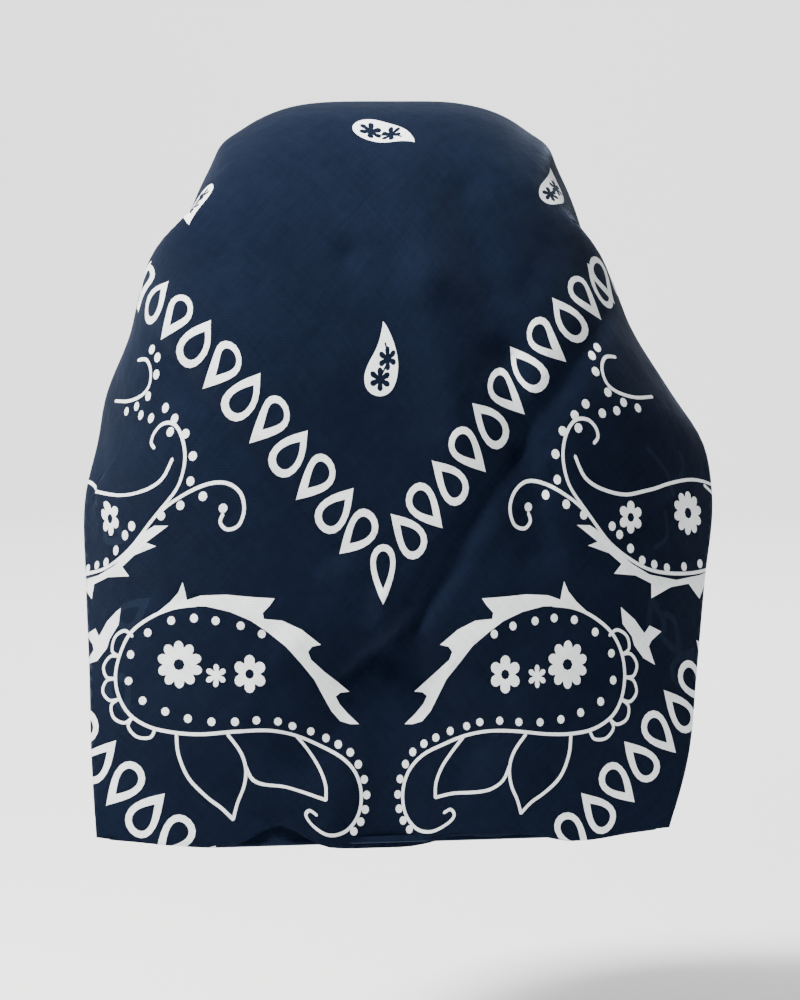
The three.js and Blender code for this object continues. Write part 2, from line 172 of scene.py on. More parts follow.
def cubic(grid, x0, dx, y0, dy, x, y):
    """Catmull-Rom interpolation in a regular grid of vectors."""
    fx, fy = (np.asarray(x) - x0) / dx, (np.asarray(y) - y0) / dy
    ix = np.clip(np.floor(fx).astype(int), 1, grid.shape[0] - 3)
    iy = np.clip(np.floor(fy).astype(int), 1, grid.shape[1] - 3)
    ux, uy = fx - ix, fy - iy
    def w(u):
        return [(-u**3 + 2 * u**2 - u) / 2, (3 * u**3 - 5 * u**2 + 2) / 2, (-3 * u**3 + 4 * u**2 + u) / 2, (u**3 - u**2) / 2]
    wx, wy = w(ux), w(uy)
    out = 0
    for i in range(4):
        for k in range(4):
            out = out + (wx[i] * wy[k])[..., None] * grid[ix + i - 1, iy + k - 1]
    return out


def form(s, q):
    return cubic(FORM, S_GRID[0], DS, Q_GRID[0], DQ, s, q)


def from_line(x, y, row):
    x0, y0, x1, y1 = row[:4]
    dx, dy = x1 - x0, y1 - y0
    t = np.clip(((x - x0) * dx + (y - y0) * dy) / (dx * dx + dy * dy), 0, 1)
    return np.hypot(x - x0 - t * dx, y - y0 - t * dy), t


def folded(p, s, q, fine=True):
    """The plain form with the folds, creases and waves of the back."""
    p = p.copy()
    back = s > CHORD[3]
    depth = np.zeros(len(s))
    for k, row in enumerate(FOLDS):
        depth += row[5] * (1.5 if fine and k < 7 else 1.0) * np.exp(-((from_line(p[:, 0], p[:, 2], row)[0] / row[4]) ** 2))
    if fine:
        for row in CREASES:
            d, t = from_line(p[:, 0], p[:, 2], row)
            depth += 1.9 * row[5] * np.exp(-((d / row[4]) ** 2)) * (0.65 + 0.35 * np.cos(2.6 * t + row[0]))
    p[:, 1] += np.where(back, depth * (1 - np.minimum(1, np.abs(q)) ** 8), 0)
    low = np.maximum(0, 1 - (TOTAL - s) / 60)
    for x, width, height in WAVES:
        p[:, 2] += np.where(back, height * low**2 * np.exp(-(((p[:, 0] - x) / width) ** 2)), 0)
    return p


def outer(s, q, fine=True):
    s, q = np.asarray(s, float), np.asarray(q, float)
    return folded(form(s, q), s, q, fine)


def outward(s, q):
    e, f = 1.2, 0.01
    n = np.cross(outer(s + e, q, False) - outer(s - e, q, False), outer(s, q + f, False) - outer(s, q - f, False))
    p = outer(s, q, False)
    hub = np.stack([0 * p[:, 0], 0 * p[:, 0], np.minimum(p[:, 2], 150)], -1)
    n *= np.where((n * (p - hub)).sum(-1) < 0, -1, 1)[:, None]
    return n / np.maximum(np.linalg.norm(n, axis=1), 1e-9)[:, None]


def inside(s, q, deep):
    return outer(s, q, False) - outward(s, q) * np.broadcast_to(deep, np.shape(s))[:, None]


# ================================================================ how the flat cloth lies on the form
# Flat coordinates: a along the diagonal towards the near corner, b across it, from the square's middle.
PITCH = 12.07                  # of the printed teardrops
STEP = PITCH / math.sqrt(2)
BAND = 190.7                   # corner of the inner band of teardrops
NA, NB = 50, 51
MID = NB // 2
A0, B0 = BAND - 37 * STEP, -MID * STEP
# where the inner band lies on the worn cloth: teardrop number, left and right of the middle, height
ARMS = np.array([
    # k, xl, xr, h
    [0, -0.4, -0.4, 98.2], [1, -7.8, 7.8, 108.2], [3, -22.4, 22.4, 128.3], [5, -37.4, 35.4, 148.6],
    [7, -53.2, 47.0, 166.9], [9, -69.8, 61.6, 184.6], [10, -77.6, 68.4, 191.8], [12, -89.6, 77.8, 199.8]])
# the flap hangs nearly as cut: how far its points lie from the middle and from the band's corner
HANG = dict(left=(0.90, 0.0007), right=(0.90, -0.00024), down=1.086, centre=-0.4, level=98.2)
TILT = math.radians(5.0)
CENTRE = np.array([5.9, -60.0, 121.0])


def seen(p):
    """Millimetres right of the middle and above the bottom fold, as the camera shows them."""
    f, up = np.array([0, math.cos(TILT), -math.sin(TILT)]), np.array([0, math.sin(TILT), math.cos(TILT)])
    def flat(p):
        q = p - CENTRE
        k = 1300.0 / (1300.0 + q @ f)
        return np.stack([q[..., 0] * k + CENTRE[0], (q @ up) * k], -1)
    out = flat(p)
    out[..., 1] -= flat(np.array([0, -84.0, 0.0]))[1]
    return out


def lay():
    """Springs along the threads and, weaker, across them, held to the form and to the measured band."""
    a, b = A0 + STEP * np.arange(NA), B0 + STEP * np.arange(NB)
    A, B = np.meshgrid(a, b, indexing="ij")
    along = np.interp(a, [-170, -119, 22, 43.7, 126.7, BAND, 280, 330], [-52, 0, 148, 172, 262, 330, TOTAL, TOTAL + 54])
    S = np.repeat(along[:, None], NB, 1)
    Q = B * 0.93 / half_at(S, B)
    fs, fq = np.meshgrid(np.arange(140, TOTAL + 20, 1.0), np.linspace(-1.15, 1.15, 461), indexing="ij")
    P = form(fs, fq)
    shown = seen(P)
    pins = []
    def pin(i, j, x, h, crown=False):
        d = np.hypot(shown[..., 0] - x, shown[..., 1] - h) + np.where(np.abs(fq) > 0.999, 2.0, 0)
        if crown:
            d = d + np.where(fs < CHORD[6], 3.0, 0)
        k = np.unravel_index(d.argmin(), d.shape)
        pins.append((i, j, P[k]))
    for k in range(13):
        row = [np.interp(k, ARMS[:, 0], ARMS[:, c]) for c in (1, 2, 3)]
        pin(37 - k, MID - k, row[0], row[2], k > 9)
        if k:
            pin(37 - k, MID + k, row[1], row[2], k > 9)
    for i, reach in ((41, 13), (44, 13), (47, 13), (38, 12), (34, 12)):
        for j in range(-reach, reach + 1, 3):
            if abs(j) < 37 - i + 2 and i < 37:
                continue
            b1, (k1, k2) = abs(j) * STEP, HANG["left" if j < 0 else "right"]
            x = HANG["centre"] + (k1 * b1 + k2 * b1 * b1) * (-1 if j < 0 else 1)
            pin(i, MID + j, x, HANG["level"] - HANG["down"] * (i - 37) * STEP)
    for i, h in ((29, 172.0), (30, 162.5), (20, 243.4)):
        pin(i, MID, 0.0, h)
    pi, pj = np.array([p[0] for p in pins]), np.array([p[1] for p in pins])
    pt = np.array([p[2] for p in pins])
    ra = np.interp(a, [-60, 60, 140], [1.0, 1.06, 1.09])
    rb = np.sqrt(2 - ra**2)
    kinds = []
    for di, dj, k in ((1, 0, 0.35), (0, 1, 0.35), (1, 1, 1.0), (1, -1, 1.0)):
        r = np.sqrt((di * (ra[:-1] + ra[1:]) / 2) ** 2 + (dj * (rb[:-1] + rb[1:]) / 2) ** 2) if di else rb
        kinds.append((di, dj, k, (r * STEP)[:, None]))
    for turn in range(300):
        P = form(S, Q)
        F, W = np.zeros_like(P), np.zeros(P.shape[:2])
        for di, dj, k, L0 in kinds:
            i0, i1 = slice(0, NA - di), slice(di, NA)
            j0, j1 = (slice(0, NB - dj), slice(dj, NB)) if dj >= 0 else (slice(-dj, NB), slice(0, NB + dj))
            d = P[i1, j1] - P[i0, j0]
            run = np.linalg.norm(d, axis=-1)
            f = (k * (run - L0) / np.maximum(run, 1e-6))[..., None] * d
            F[i0, j0] += f
            F[i1, j1] -= f
            W[i0, j0] += k
            W[i1, j1] += k
        F[pi, pj] += 12.0 * (pt - P[pi, pj])
        W[pi, pj] += 12.0
        F[:, MID, 0] -= 20.0 * P[:, MID, 0]
        W[:, MID] += 20.0
        F /= W[..., None]
        Ps = (form(S + 1, Q) - form(S - 1, Q)) / 2
        Pq = (form(S, Q + 0.01) - form(S, Q - 0.01)) / 0.02
        g11, g12, g22 = (Ps * Ps).sum(-1), (Ps * Pq).sum(-1), (Pq * Pq).sum(-1)
        r1, r2 = (Ps * F).sum(-1), (Pq * F).sum(-1)
        det = np.maximum(g11 * g22 - g12**2, 1e-3 * g11 * g22 + 1e-9)
        S = np.clip(S + np.clip((g22 * r1 - g12 * r2) / det, -6, 6), S_GRID[0] + 4, S_GRID[-1] - 4)
        Q = np.clip(Q + np.clip((g11 * r2 - g12 * r1) / det, -0.06, 0.06), -2.12, 2.12)
        # cloth doesn't crumple between neighbouring threads
        for X in (S, Q):
            X[1:-1] += 0.12 * ((X[:-2] + X[2:]) / 2 - X[1:-1])
            X[:, 1:-1] += 0.12 * ((X[:, :-2] + X[:, 2:]) / 2 - X[:, 1:-1])
    return np.stack([S, Q], -1)


LAID = lay()


def where(a, b):
    sq = cubic(LAID, A0, STEP, B0, STEP, a, b)
    return sq[..., 0], sq[..., 1]


def on_crown(a, b):
    s, q = where(a, b)
    p = outer(np.clip(s, -1, TOTAL + 1), np.clip(q, -1.0, 1.0))
    n = outward(np.clip(s, 0, TOTAL), np.clip(q, -0.99, 0.99))
    depth = np.zeros(len(a))
    for row in CROWN_CREASES:
        d, t = from_line(a, b, row)
        depth += row[5] * np.exp(-((d / row[4]) ** 2)) * np.sin(np.pi * np.clip(t, 0.06, 0.94)) ** 0.6
    return p - n * (depth * (1 - np.minimum(1, np.abs(q)) ** 8))[:, None]


def flat_of(s, q):
    """The flat point that lies at (s, q), by Newton steps from the nearest point of the grid."""
    out = []
    ii, jj = np.meshgrid(np.arange(2, NA - 2), np.arange(2, NB - 2), indexing="ij")
    for si, qi in zip(s, q):
        h = float(half_at(np.array(si), np.array(qi)))
        d = (LAID[2:-2, 2:-2, 0] - si) ** 2 + ((LAID[2:-2, 2:-2, 1] - qi) * h) ** 2
        k = np.unravel_index(d.argmin(), d.shape)
        x = np.array([A0 + STEP * ii[k], B0 + STEP * jj[k]])
        for _ in range(14):
            f = np.array(where(x[0], x[1])) - (si, qi)
            fa = np.array(where(x[0] + 1, x[1])) - (si, qi) - f
            fb = np.array(where(x[0], x[1] + 1)) - (si, qi) - f
            J = np.stack([fa, fb], 1)
            try:
                step = np.linalg.solve(J, -f)
            except np.linalg.LinAlgError:
                break
            n = np.linalg.norm(step)
            x = x + step * min(1, 5 / max(n, 1e-9))
        out.append(x)
    return np.array(out)


# ================================================================ the print, charted on the flat cloth
# A shape is (closed outline, ink): 1 print, 0 bare cloth, 2 the print of the layer behind, showing through.
def smooth(points, steps=5, closed=True):
    p = np.asarray(points, float)
    n = len(p)
    out = []
    for i in range(n if closed else n - 1):
        if closed:
            p0, p1, p2, p3 = p[i - 1], p[i], p[(i + 1) % n], p[(i + 2) % n]
        else:
            p0, p1, p2, p3 = p[max(i - 1, 0)], p[i], p[i + 1], p[min(i + 2, n - 1)]
        for k in range(steps):
            u = k / steps
            out.append(0.5 * (2 * p1 + (p2 - p0) * u + (2 * p0 - 5 * p1 + 4 * p2 - p3) * u * u + (3 * p1 - 3 * p2 + p3 - p0) * u**3))
    if not closed:
        out.append(p[-1])
    return np.array(out)


def stroke(points, width, steps=4):
    """A line of even width, rounded at its ends."""
    c = smooth(points, steps, False)
    t = np.gradient(c, axis=0)
    t /= np.maximum(np.linalg.norm(t, axis=1), 1e-9)[:, None]
    n = np.stack([-t[:, 1], t[:, 0]], 1) * width / 2
    return np.vstack([c + n, c[-1:] + t[-1:] * width * 0.45, (c - n)[::-1], c[:1] - t[:1] * width * 0.45])


def teardrop(length, width, n=22):
    """Along +x from the round end to the tip, centred."""
    g = np.linspace(0, 2 * np.pi, n, endpoint=False)
    x = -np.cos(g)
    y = np.sin(g) * (1 - (x + 1) / 2) ** 0.62 * 1.28
    return np.stack([x * length / 2, y * width / 2], 1)


def turned(p, angle, at, flip=False):
    p = np.asarray(p, float) * ([1, -1] if flip else [1, 1])
    c, s = math.cos(angle), math.sin(angle)
    return np.stack([p[:, 0] * c - p[:, 1] * s + at[0], p[:, 0] * s + p[:, 1] * c + at[1]], 1)


def drop_ring(at, angle, length=17.6, width=11.6, line=2.35):
    out = turned(teardrop(length, width), angle, at)
    hole = teardrop(length - 3.1 * line, width - 2 * line)
    hole[:, 0] -= 0.55 * line
    return [(out, 1), (turned(hole, angle, at), 0)]


def disc(at, radius, n=10):
    g = np.linspace(0, 2 * np.pi, n, endpoint=False)
    return np.stack([at[0] + radius * np.cos(g), at[1] + radius * np.sin(g)], 1)


def flower(at, radius, petals, notch=0.72, n=None):
    g = np.linspace(0, 2 * np.pi, petals * 6, endpoint=False)
    r = radius * (notch + (1 - notch) * np.abs(np.cos(petals * g / 2)) ** 0.7)
    return np.stack([at[0] + r * np.cos(g), at[1] + r * np.sin(g)], 1)


def star(at, radius, arms, turn=0.0):
    g = np.linspace(0, 2 * np.pi, arms * 2, endpoint=False) + turn
    r = radius * np.where(np.arange(arms * 2) % 2 == 0, 1.0, 0.4)
    return np.stack([at[0] + r * np.cos(g), at[1] + r * np.sin(g)], 1)


SMALL = np.array([
    # along, across: the small solid paisley, tip at +x
    [11.6, 2.6], [9.6, -0.6], [6.4, -3.4], [2.0, -5.6], [-3.0, -6.2], [-7.4, -5.2], [-10.2, -2.4], [-10.8, 1.2],
    [-9.2, 4.2], [-5.6, 5.6], [-1.0, 5.2], [3.4, 4.0], [7.4, 3.2]])


def small_paisley(at, angle, flip=False):
    out = smooth(SMALL, 3)
    tip = np.argmin(np.hypot(out[:, 0] - 11.6, out[:, 1] - 2.6))
    out[tip] = (12.1, 3.1)
    shapes = [(turned(out, angle, at, flip), 1)]
    for x, y, r, k in ((-5.0, 0.0, 3.9, 6), (2.2, -1.2, 3.6, 6)):
        c = turned(np.array([[x, y]]), angle, at, flip)[0]
        shapes.append((flower(c, r + 0.2, k, 0.4), 0))
    shapes.append((turned(stroke([[-4.6, 0.2], [-1.6, -0.6], [1.4, -1.4], [4.2, -0.6], [6.6, 0.8]], 0.7, 2), angle, at, flip), 0))
    return shapes


# One corner's border motifs, left of the diagonal, in chart units: across to the right, down.
# CHART turns chart units into flat millimetres.
CHART = dict(x0=626.0, y0=950.0, across=5.54, across_upper=5.10, down=6.30)


def chart(points, upper=False):
    p = np.asarray(points, float)
    b = (p[:, 0] - CHART["x0"]) / CHART["across_upper" if upper else "across"]
    if upper:
        b -= 0.1 * np.maximum(0, 60 - p[:, 0])
    return np.stack([BAND + (p[:, 1] - CHART["y0"]) / CHART["down"], b], 1)


def corner_motifs(away=0.0):
    """The two paisleys, trefoil, scrolls and dots beside the diagonal at one corner, left side only."""
    shapes = []
    line = 1.15
    def pen(points, width=line):
        shapes.append((stroke(chart(points), width), 1))
    def solid(points, ink=1):
        shapes.append((chart(points), ink))
    def pen_up(points, width=line):
        shapes.append((stroke(chart(points, True), width), 1))
    def solid_up(points, ink=1):
        shapes.append((chart(points, True), ink))
    # the lower paisley's outline, from its leafy crest round its broad end to the curl of its tail
    pen([[262, 1030], [215, 1036], [172, 1054], [132, 1084], [108, 1124], [99, 1168], [107, 1212], [130, 1250],
         [170, 1276], [220, 1287], [272, 1289], [330, 1284], [390, 1284], [440, 1294], [492, 1313], [540, 1336],
         [570, 1368], [582, 1410], [576, 1452], [552, 1484], [518, 1496], [486, 1487], [470, 1470], [478, 1455], [492, 1460]])
    # its crest of five leaves
    solid([[184, 1045], [208, 1024], [226, 1004], [236, 984], [241, 1004], [244, 1020], [272, 1011], [318, 1009],
           [366, 1014], [412, 1018], [402, 1032], [388, 1046], [390, 1058], [426, 1062], [464, 1080], [502, 1110],
           [484, 1114], [476, 1124], [482, 1140], [508, 1164], [532, 1186], [558, 1208], [540, 1209], [530, 1216],
           [538, 1232], [556, 1252], [578, 1272], [560, 1272], [540, 1266], [522, 1246], [506, 1216], [488, 1180],
           [462, 1148], [432, 1112], [400, 1086], [366, 1062], [326, 1044], [282, 1033], [238, 1032], [206, 1040]])
    # scallops round its broad end
    bases = [[136, 1090], [106, 1128], [99, 1174], [108, 1218], [136, 1256], [180, 1280]]
    for p, q in zip(bases[:-1], bases[1:]):
        m, d = [(p[0] + q[0]) / 2, (p[1] + q[1]) / 2], [q[0] - p[0], q[1] - p[1]]
        n = np.array([-d[1], d[0]]) / math.hypot(*d)
        n = n if n @ (np.array(m) - (250, 1170)) > 0 else -n
        pen([p, [p[0] + 0.02 * d[0] + 20 * n[0], p[1] + 0.02 * d[1] + 20 * n[1]], [m[0] + 31 * n[0], m[1] + 31 * n[1]],
             [q[0] - 0.02 * d[0] + 20 * n[0], q[1] - 0.02 * d[1] + 20 * n[1]], q], 1.05)
    # two pointed petals that hang from it
    pen([[221, 1290], [224, 1330], [242, 1378], [276, 1416], [304, 1440], [326, 1466]])
    pen([[326, 1466], [334, 1436], [348, 1400], [352, 1362], [342, 1326], [318, 1290]])
    pen([[352, 1358], [366, 1390], [396, 1410], [440, 1418], [480, 1420], [511, 1424]])
    pen([[511, 1424], [510, 1394], [498, 1362], [478, 1332], [452, 1300]])
    # its flowers, star and dots
    for x, y, r, k, hole in ((228, 1149, 7.7, 10, 1.9), (362, 1168, 6.0, 6, 1.6)):
        c = chart([[x, y]])[0]
        shapes.append((flower(c, r, k, 0.72 if k > 8 else 0.6), 1))
        shapes.append((disc(c, hole, 8), 0))
    c = chart([[294, 1172]])[0]
    shapes.append((flower(c, 3.7, 6, 0.35), 1))
    dots = [[258, 1056], [214, 1060], [299, 1062], [346, 1072], [386, 1088], [168, 1084], [131, 1126], [126, 1180],
            [156, 1222], [200, 1244], [243, 1258], [288, 1264], [333, 1264], [374, 1262], [416, 1266], [444, 1276],
            [480, 1287], [511, 1300], [536, 1312], [560, 1328], [576, 1352], [588, 1382], [593, 1413], [590, 1442],
            [581, 1466], [567, 1485]]
    for x, y in dots:
        shapes.append((disc(chart([[x, y]])[0], 1.4, 9), 1))
    # the upper paisley: curl and outline, its inner line, the scroll below and the one above
    pen_up([[204, 712], [196, 700], [200, 682], [216, 668], [240, 672], [258, 700], [266, 742], [258, 784], [240, 818],
         [210, 862], [174, 906], [130, 936], [80, 955], [28, 954], [-20, 938], [-64, 904], [-84, 860], [-76, 812], [-50, 776], [-20, 752]])
    pen_up([[242, 740], [222, 778], [190, 800], [140, 808], [88, 794], [46, 770], [4, 748], [-36, 744], [-60, 756]])
    pen_up([[214, 856], [250, 822], [300, 796], [340, 790], [364, 808], [374, 842], [366, 874], [346, 882], [334, 868], [338, 852]])
    pen_up([[142, 526], [166, 534], [178, 560], [172, 590], [148, 604], [108, 604], [64, 588]])
    # its leafy edge
    solid_up([[242, 872], [216, 872], [190, 888], [160, 920], [128, 944], [88, 964], [34, 968], [-10, 950], [-40, 930],
           [-52, 946], [-22, 960], [-8, 1000], [12, 972], [44, 984], [84, 1012], [84, 982], [120, 968], [166, 966],
           [150, 946], [176, 926], [220, 912], [200, 904]])
    for x, y, r, k, hole in ((130, 852, 5.2, 6, 1.5), (14, 824, 7.4, 10, 1.9)):
        c = chart([[x - (away if k == 6 else 3 * away), y]], True)[0]
        shapes.append((flower(c, r, k, 0.72 if k > 8 else 0.6), 1))
        shapes.append((disc(c, hole, 8), 0))
    dots = [[186, 652], [156, 638 + 4], [218, 638], [240, 662], [264, 694], [280, 738], [278, 786], [234, 684 + 2],
            [228, 852], [262, 832], [302, 816], [338, 830 + 10], [170, 872], [154, 888], [130, 914], [104, 938 - 2],
            [76, 942], [50, 946], [20, 938], [-10, 926], [180, 518], [194, 538], [192, 570], [172, 602 + 6], [140, 622], [108, 626]]
    for x, y in dots:
        shapes.append((disc(chart([[x, y]], True)[0], 1.5, 9), 1))
    # trefoil
    solid_up([[152, 1032], [122, 1056], [100, 1082], [88, 1066], [60, 1076], [84, 1096], [90, 1108], [76, 1144],
              [102, 1132], [122, 1108], [128, 1090], [148, 1066]])
    return shapes


def whole_print():
    """Every shape of the square, its four corners alike."""
    shapes = []
    def quarter(p, k, mirror):
        p = np.asarray(p, float)
        if mirror:
            p = p * [1, -1]
        for _ in range(k):
            p = np.stack([-p[:, 1], p[:, 0]], 1)
        return p
    corner = corner_motifs()
    for k in range(4):
        for mirror in (False, True):
            shapes += [(quarter(p, k, mirror), ink) for p, ink in (corner if k or mirror else corner_motifs(14.0))]
        # bands of teardrops, outlined, their tips pointing out and in by turns
        turn = math.pi / 2 * k
        def put(a, b, angle, **size):
            c, s = math.cos(turn), math.sin(turn)
            return drop_ring((a * c - b * s, a * s + b * c), angle + turn, **size)
        shapes.extend(put(BAND + 3.1, 0.3, 0.0, length=18.4, width=10.2, line=2.15))
        for n in range(1, 12):
            for side in (-1, 1):
                out = n % 2 == (1 if side < 0 else 0)
                angle = side * math.pi / 4 + (0 if out else math.pi)
                near = 1 if n == 1 else 0
                shapes.extend(put(BAND - STEP * n - 0.6 * near, side * (STEP * n + 0.9 * near), angle))
        for n in range(-18, 12):
            for side in (-1, 1):
                a = 252.75 + STEP * n
                if a > 349 or a < 353.5 / 2 - 4:
                    continue
                angle = side * math.pi / 4 + (math.pi if n % 2 == 0 else 0)
                shapes.extend(put(a, side * (353.5 - a), angle))
    # the field's small paisleys: place, direction of the tip
    for a, b, angle, flip in ((128.0, 0.5, 166, False), (47.0, 0.6, 70, True), (60.0, 69.0, 196, False),
                              (66.5, -68.5, 334, False), (-43.7, 0, 250, True), (-64, -66, 16, False), (-64, 66, 120, False),
                              (-126.7, 0, 346, False), (0, 126.7, 256, False), (0, -126.7, 76, False),
                              (0, 43.7, 160, True), (0, -43.7, 340, True)):
        shapes.extend(small_paisley((a, b), math.radians(angle), flip))
    return shapes


PRINT = whole_print()
# parts of the second layer's print that show through near the flap's sides
GHOSTS = [
    (drop_ring((212, 116), 0.6, 17, 11), 2), (drop_ring((221, 122), 2.4, 17, 11), 2), (drop_ring((206, 108), 3.4, 15, 10), 2),
    (drop_ring((205, -88), 2.2, 15, 10), 2), (drop_ring((232, -93), 0.4, 16, 10), 2), (drop_ring((180, -98), 1.2, 15, 9), 2)]


def ghosts():
    out = []
    for shapes, ink in GHOSTS:
        out += [(p, ink if i else 0) for p, i in shapes]
    out += [(stroke([[152, 105], [158, 113], [166, 117]], 1.6), 2), (stroke([[172, 113], [180, 114], [184, 108]], 1.6), 2),
            (stroke([[150, 121], [156, 123], [160, 118]], 1.4), 2)]
    return out


# ================================================================ materials
def node(tree, kind, at, **values):
    n = tree.nodes.new(kind)
    n.location = at
    for key, value in values.items():
        if key.startswith("in_"):
            name = key[3:].replace("_", " ")
            n.inputs[int(name) if name.isdigit() else name].default_value = value
        else:
            setattr(n, key, value)
    return n


def fabric(name, colour, shade, rough=0.86, sheen=0.35, weave=0.28, tint=(0.55, 0.66, 0.9, 1)):
    """Printed plain-weave cotton: two thread systems along the square's sides, slubs, nap and uneven dye."""
    m = bpy.data.materials.new(name)
    m.use_nodes = True
    t = m.node_tree
    t.nodes.clear()
    link = t.links.new
    out = node(t, "ShaderNodeOutputMaterial", (900, 0))
    bsdf = node(t, "ShaderNodeBsdfPrincipled", (600, 0))
    bsdf.inputs["Roughness"].default_value = rough
    bsdf.inputs["Specular IOR Level"].default_value = 0.03
    bsdf.inputs["Sheen Weight"].default_value = sheen
    bsdf.inputs["Sheen Roughness"].default_value = 0.45
    bsdf.inputs["Sheen Tint"].default_value = tint
    link(bsdf.outputs[0], out.inputs[0])
    uv = node(t, "ShaderNodeUVMap", (-1500, 0), uv_map="flat")
    turn = node(t, "ShaderNodeMapping", (-1300, 0))
    turn.inputs["Rotation"].default_value = (0, 0, math.pi / 4)
    turn.inputs["Scale"].default_value = (1000 / 0.62, 1000 / 0.62, 1)   # threads of 0.62 mm pitch
    link(uv.outputs[0], turn.inputs[0])
    split = node(t, "ShaderNodeSeparateXYZ", (-1100, 0))
    link(turn.outputs[0], split.inputs[0])
    def wave(i, at):
        a = node(t, "ShaderNodeMath", at, operation="MULTIPLY", in_1=math.pi)
        b = node(t, "ShaderNodeMath", (at[0] + 150, at[1]), operation="SINE")
        link(split.outputs[i], a.inputs[0])
        link(a.outputs[0], b.inputs[0])
        return b
    wx, wy = wave(0, (-900, 120)), wave(1, (-900, -60))
    over = node(t, "ShaderNodeMath", (-560, 60), operation="MULTIPLY")
    link(wx.outputs[0], over.inputs[0])
    link(wy.outputs[0], over.inputs[1])
    # slubs: noise drawn out along each thread system
    slub = []
    for i, scale in enumerate(((0.5, 0.045, 1), (0.045, 0.5, 1))):
        mp = node(t, "ShaderNodeMapping", (-900, -260 - 180 * i))
        mp.inputs["Scale"].default_value = scale
        link(turn.outputs[0], mp.inputs[0])
        nz = node(t, "ShaderNodeTexNoise", (-700, -260 - 180 * i), in_Scale=1.0, in_Detail=2.0)
        link(mp.outputs[0], nz.inputs["Vector"])
        slub.append(nz)
    both = node(t, "ShaderNodeMath", (-500, -300), operation="ADD")
    link(slub[0].outputs[0], both.inputs[0])
    link(slub[1].outputs[0], both.inputs[1])
    broad = node(t, "ShaderNodeTexNoise", (-700, -660), in_Scale=34.0, in_Detail=3.0)
    link(uv.outputs[0], broad.inputs["Vector"])
    # colour: dye varies a little from thread to thread and over the cloth
    mixed = node(t, "ShaderNodeMath", (-330, -300), operation="MULTIPLY_ADD", in_1=0.36, in_2=0.0)
    link(both.outputs[0], mixed.inputs[0])
    mixed2 = node(t, "ShaderNodeMath", (-160, -300), operation="MULTIPLY_ADD", in_1=0.34)
    link(broad.outputs[0], mixed2.inputs[0])
    link(mixed.outputs[0], mixed2.inputs[2])
    weft = node(t, "ShaderNodeMath", (0, -300), operation="MULTIPLY_ADD", in_1=0.06)
    link(over.outputs[0], weft.inputs[0])
    link(mixed2.outputs[0], weft.inputs[2])
    ramp = node(t, "ShaderNodeValToRGB", (200, -200))
    ramp.color_ramp.elements[0].position = 0.32
    ramp.color_ramp.elements[0].color = (*shade, 1)
    ramp.color_ramp.elements[1].position = 0.76
    ramp.color_ramp.elements[1].color = (*colour, 1)
    link(weft.outputs[0], ramp.inputs[0])
    link(ramp.outputs[0], bsdf.inputs["Base Color"])
    height = node(t, "ShaderNodeMath", (0, 100), operation="MULTIPLY_ADD", in_1=0.9)
    link(both.outputs[0], height.inputs[0])
    woven = node(t, "ShaderNodeMath", (-150, 60), operation="MULTIPLY", in_1=0.5)
    link(over.outputs[0], woven.inputs[0])
    link(woven.outputs[0], height.inputs[2])
    bump = node(t, "ShaderNodeBump", (300, 120), in_Strength=weave, in_Distance=0.00022)
    link(height.outputs[0], bump.inputs["Height"])
    soft = node(t, "ShaderNodeBump", (450, -320), in_Strength=0.55, in_Distance=0.0014)
    wide = node(t, "ShaderNodeTexNoise", (200, -460), in_Scale=95.0, in_Detail=2.0)
    link(uv.outputs[0], wide.inputs["Vector"])
    link(wide.outputs[0], soft.inputs["Height"])
    link(bump.outputs[0], soft.inputs["Normal"])
    link(soft.outputs[0], bsdf.inputs["Normal"])
    return m


MATERIALS = [
    fabric("cotton_navy", (0.0036, 0.0068, 0.0172), (0.0013, 0.0031, 0.0090), sheen=0.07),
    fabric("print_white", (0.80, 0.82, 0.83), (0.62, 0.645, 0.665), rough=0.9, sheen=0.05, weave=0.35, tint=(1, 1, 1, 1)),
    fabric("print_showing_through", (0.0062, 0.0108, 0.0235), (0.0034, 0.0066, 0.0148), sheen=0.08),
    fabric("cotton_reverse", (0.0100, 0.0165, 0.0320), (0.0058, 0.0100, 0.0210), sheen=0.12),
    fabric("print_reverse", (0.060, 0.076, 0.105), (0.038, 0.050, 0.074), sheen=0.2),
]
THREAD = fabric("hem_thread", (0.028, 0.040, 0.070), (0.018, 0.027, 0.048), weave=0.15)

# ================================================================ cloth
def to_cad(p):
    return (np.asarray(p) - SEAT) / 1000.0


def finish_mesh(name, points, faces, kinds, uv, nodes):
    mesh = bpy.data.meshes.new(name)
    mesh.from_pydata([tuple(p) for p in to_cad(points)], [], faces)
    for m in MATERIALS:
        mesh.materials.append(m)
    mesh.polygons.foreach_set("material_index", kinds)
    mesh.polygons.foreach_set("use_smooth", [True] * len(faces))
    layer = mesh.uv_layers.new(name="flat")
    index = np.zeros(len(mesh.loops), np.int32)
    mesh.loops.foreach_get("vertex_index", index)
    layer.data.foreach_set("uv", (np.asarray(uv)[index] / 1000.0).astype(np.float32).ravel())
    mesh.validate()
    mesh.update()
    o = bpy.data.objects.new(name, mesh)
    bpy.context.scene.collection.objects.link(o)
    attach(o, "root")
    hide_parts(*nodes)
    return o


